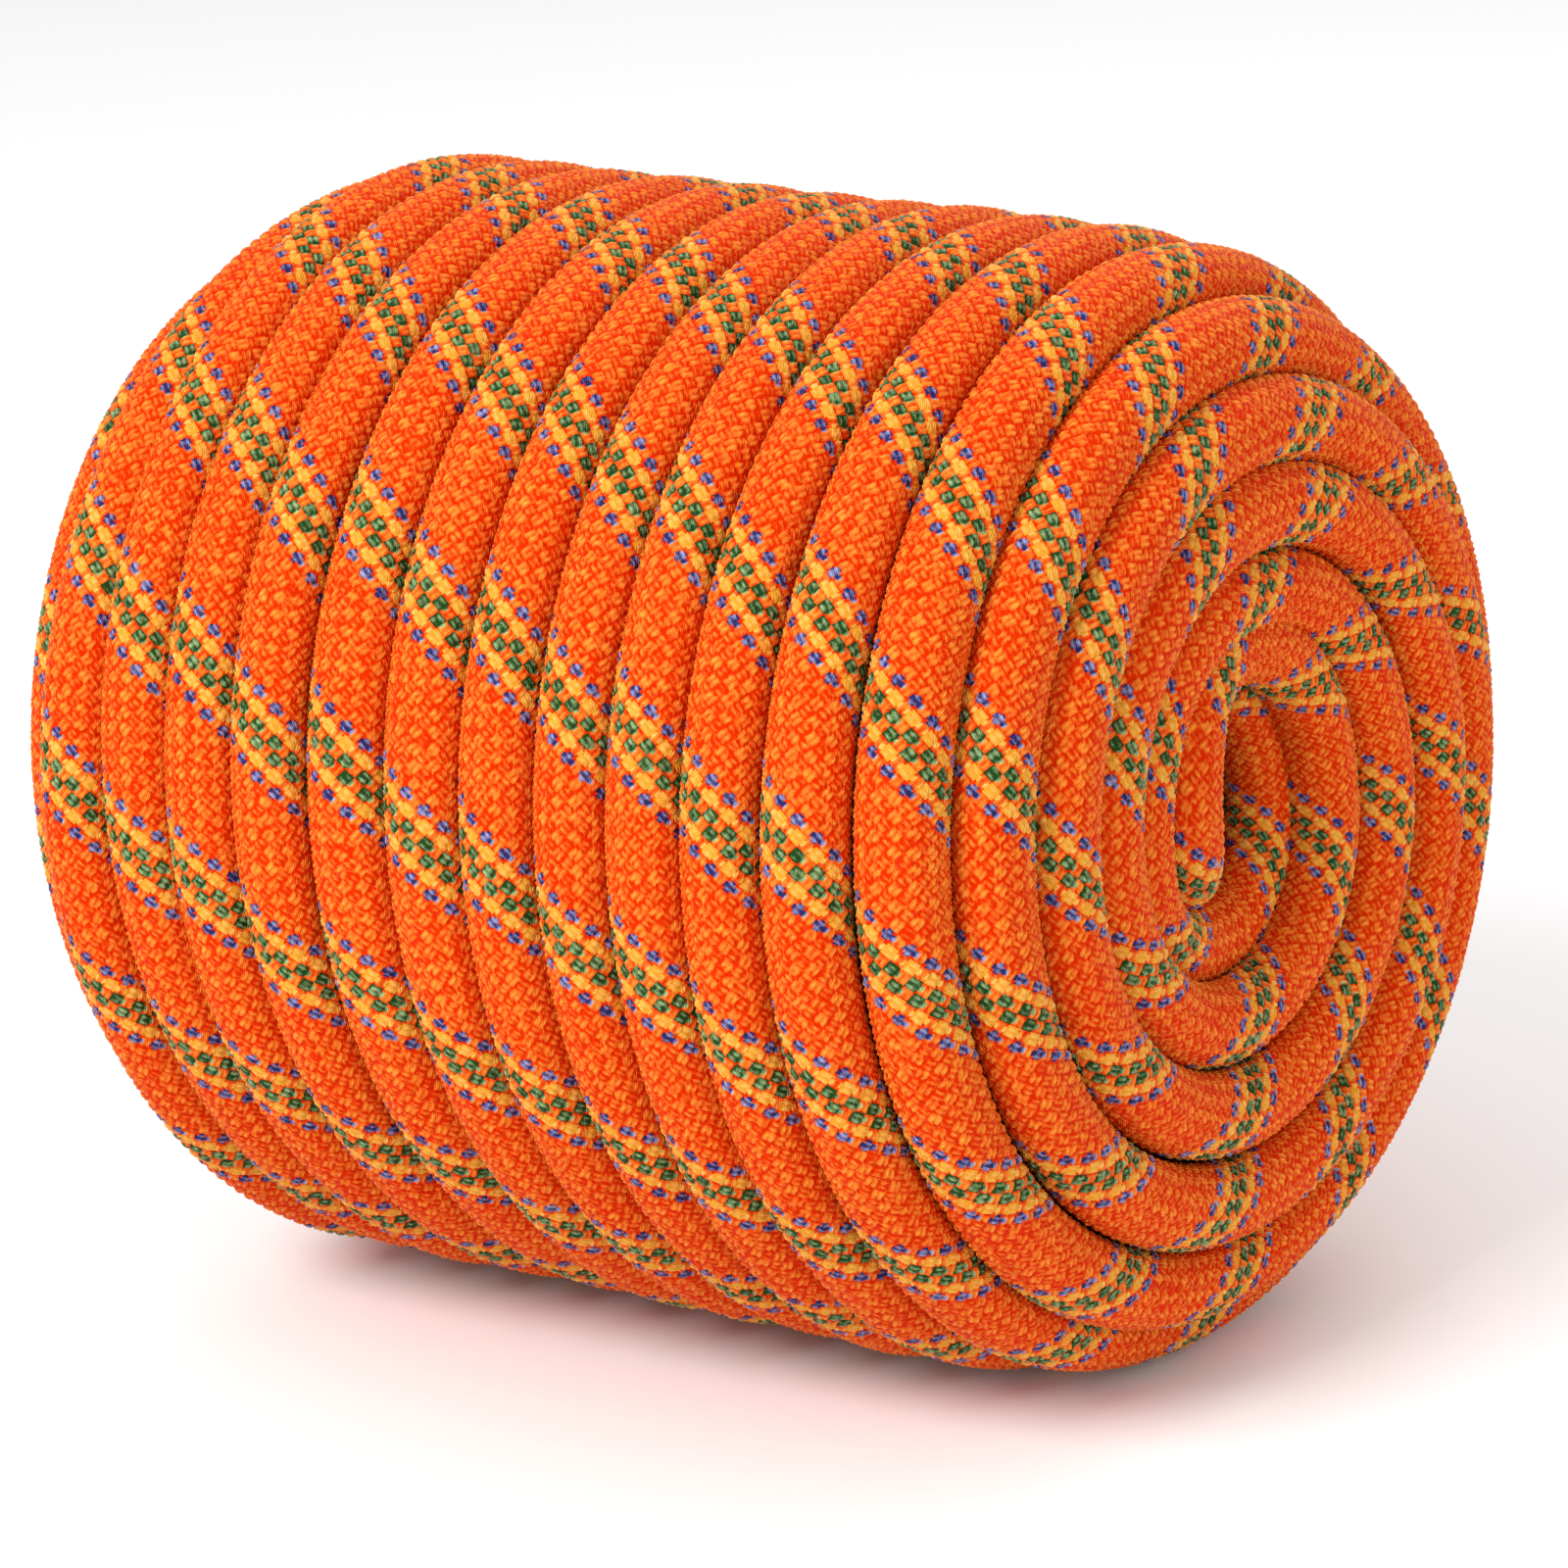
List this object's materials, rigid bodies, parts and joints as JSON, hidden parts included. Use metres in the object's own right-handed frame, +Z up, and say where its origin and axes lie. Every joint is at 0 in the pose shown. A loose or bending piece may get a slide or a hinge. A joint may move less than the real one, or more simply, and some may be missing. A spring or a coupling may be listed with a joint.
{
  "type": "dynamic climbing rope",
  "caption": "Dynamic climbing rope with a braided orange sheath, wound into a short lying cylinder with a flat spiral of turns across one end.",
  "frame": {"origin": "bottom centre of the whole part, on the surface it lies on", "axes": "+Z up; +X along the coil's axis, towards the end closed by the flat spiral"},
  "size_m": [0.1494, 0.143, 0.1414],
  "materials": {
    "rope_sheath": "braided nylon yarn, satin",
    "core_yarn": "undyed twisted nylon",
    "identity_tape": "thin plain tape",
    "label_film": "plain film, no lettering",
    "clear_sleeve": "clear shrink sleeve",
    "fused_end": "melted nylon"
  },
  "bodies": {
    "root": {"wound_coil": "rope_sheath", "face_spiral": "rope_sheath", "inner_end_sheath": "rope_sheath", "inner_end_identity_tape": "identity_tape", "inner_end_label_band": "label_film", "inner_end_shrink_sleeve": "clear_sleeve", "inner_end_fused_cap": "fused_end", "inner_end_core_strand_01": "core_yarn", "inner_end_core_strand_02": "core_yarn", "inner_end_core_strand_03": "core_yarn", "inner_end_core_strand_04": "core_yarn", "inner_end_core_strand_05": "core_yarn", "inner_end_core_strand_06": "core_yarn", "inner_end_core_strand_07": "core_yarn", "inner_end_core_strand_08": "core_yarn", "inner_end_core_strand_09": "core_yarn", "inner_end_core_strand_10": "core_yarn", "inner_end_core_strand_11": "core_yarn", "inner_end_core_strand_12": "core_yarn", "outer_end_sheath": "rope_sheath", "outer_end_identity_tape": "identity_tape", "outer_end_label_band": "label_film", "outer_end_shrink_sleeve": "clear_sleeve", "outer_end_fused_cap": "fused_end", "outer_end_core_strand_01": "core_yarn", "outer_end_core_strand_02": "core_yarn", "outer_end_core_strand_03": "core_yarn", "outer_end_core_strand_04": "core_yarn", "outer_end_core_strand_05": "core_yarn", "outer_end_core_strand_06": "core_yarn", "outer_end_core_strand_07": "core_yarn", "outer_end_core_strand_08": "core_yarn", "outer_end_core_strand_09": "core_yarn", "outer_end_core_strand_10": "core_yarn", "outer_end_core_strand_11": "core_yarn", "outer_end_core_strand_12": "core_yarn"}
  },
  "joints": []
}
